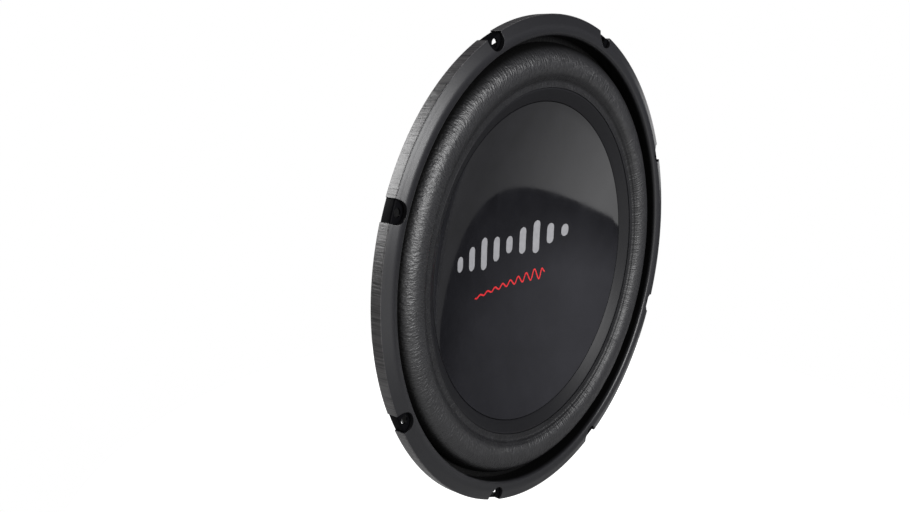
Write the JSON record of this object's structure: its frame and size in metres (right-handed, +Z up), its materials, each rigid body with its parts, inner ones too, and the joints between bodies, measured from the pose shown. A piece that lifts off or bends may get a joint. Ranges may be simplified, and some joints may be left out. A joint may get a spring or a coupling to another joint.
{
  "type": "car subwoofer speaker",
  "caption": "Round car subwoofer driver: notched rubber trim ring, half-roll surround, glossy dished cone, slim windowed steel basket, covered magnet motor, push terminals.",
  "frame": {"origin": "on the speaker axis, in the plane of the front face of the board that the rim rests on", "axes": "+Z up, the speaker faces -Y, the motor points to +Y, +X across"},
  "size_m": [0.32, 0.0973, 0.32],
  "materials": {
    "basket_paint": "gloss black powder coat",
    "trim_rubber": "satin, dark grey, finely brushed sides",
    "surround_rubber": "satin with a fine leathery grain",
    "cone_gloss": "polished black",
    "dish_gloss": "polished black with a light grey and a red print",
    "former_film": "amber film",
    "coil_wire": "lacquered copper wire",
    "spider_cloth": "resin-treated woven cloth",
    "plated_steel": "zinc plated, satin",
    "ferrite": "ground, dull dark grey",
    "screen_paint": "black mesh",
    "boot_rubber": "satin moulded",
    "rivet_steel": "bright plated",
    "terminal_plastic": "fine matt texture",
    "button_red": "semi-gloss red",
    "button_black": "semi-gloss black",
    "spring_steel": "bright drawn wire",
    "contact_metal": "tinned brass strip",
    "lead_braid": "braided copper tinsel",
    "print_grey": null,
    "print_red": null
  },
  "bodies": {
    "chassis": {"basket": "basket_paint", "front_gasket": "trim_rubber", "surround": "surround_rubber", "spider": "spider_cloth", "top_plate": "plated_steel", "magnet_front": "ferrite", "magnet_rear": "ferrite", "t_yoke": "plated_steel", "vent_screen": "screen_paint", "magnet_boot": "boot_rubber", "plate_rivet_1": "rivet_steel", "plate_rivet_2": "rivet_steel", "plate_rivet_3": "rivet_steel", "plate_rivet_4": "rivet_steel", "plate_rivet_5": "rivet_steel", "plate_rivet_6": "rivet_steel", "terminal_block_right": "terminal_plastic", "terminal_block_left": "terminal_plastic", "terminal_spring_right_1": "spring_steel", "terminal_contact_right_1": "contact_metal", "terminal_rivet_right_1": "rivet_steel", "tinsel_lead_right_1": "lead_braid", "terminal_spring_right_2": "spring_steel", "terminal_contact_right_2": "contact_metal", "terminal_rivet_right_2": "rivet_steel", "tinsel_lead_right_2": "lead_braid", "terminal_spring_left_1": "spring_steel", "terminal_contact_left_1": "contact_metal", "terminal_rivet_left_1": "rivet_steel", "tinsel_lead_left_1": "lead_braid", "terminal_spring_left_2": "spring_steel", "terminal_contact_left_2": "contact_metal", "terminal_rivet_left_2": "rivet_steel", "tinsel_lead_left_2": "lead_braid"},
    "cone": {"cone_body": "cone_gloss", "front_dish": "dish_gloss", "voice_coil_former": "former_film", "voice_coil_inner": "coil_wire", "voice_coil_outer": "coil_wire"},
    "button_right_1": {"terminal_button_right_1": "button_red"},
    "button_right_2": {"terminal_button_right_2": "button_black"},
    "button_left_1": {"terminal_button_left_1": "button_red"},
    "button_left_2": {"terminal_button_left_2": "button_black"}
  },
  "joints": [
    {"name": "cone_travel", "type": "slide", "parent": "chassis", "child": "cone", "axis": [0, -1, 0], "range_m": [-0.008, 0.008], "stiffness_N_per_m": 4000, "deforming": ["surround", "spider", "tinsel_lead_right_1", "tinsel_lead_right_2", "tinsel_lead_left_1", "tinsel_lead_left_2"]},
    {"name": "button_press_right_1", "type": "slide", "parent": "chassis", "child": "button_right_1", "axis": [-1, 0, 0], "range_m": [0, 0.003], "stiffness_N_per_m": 400, "deforming": ["terminal_spring_right_1"]},
    {"name": "button_press_right_2", "type": "slide", "parent": "chassis", "child": "button_right_2", "axis": [-1, 0, 0], "range_m": [0, 0.003], "stiffness_N_per_m": 400, "deforming": ["terminal_spring_right_2"]},
    {"name": "button_press_left_1", "type": "slide", "parent": "chassis", "child": "button_left_1", "axis": [1, 0, 0], "range_m": [0, 0.003], "stiffness_N_per_m": 400, "deforming": ["terminal_spring_left_1"]},
    {"name": "button_press_left_2", "type": "slide", "parent": "chassis", "child": "button_left_2", "axis": [1, 0, 0], "range_m": [0, 0.003], "stiffness_N_per_m": 400, "deforming": ["terminal_spring_left_2"]}
  ]
}
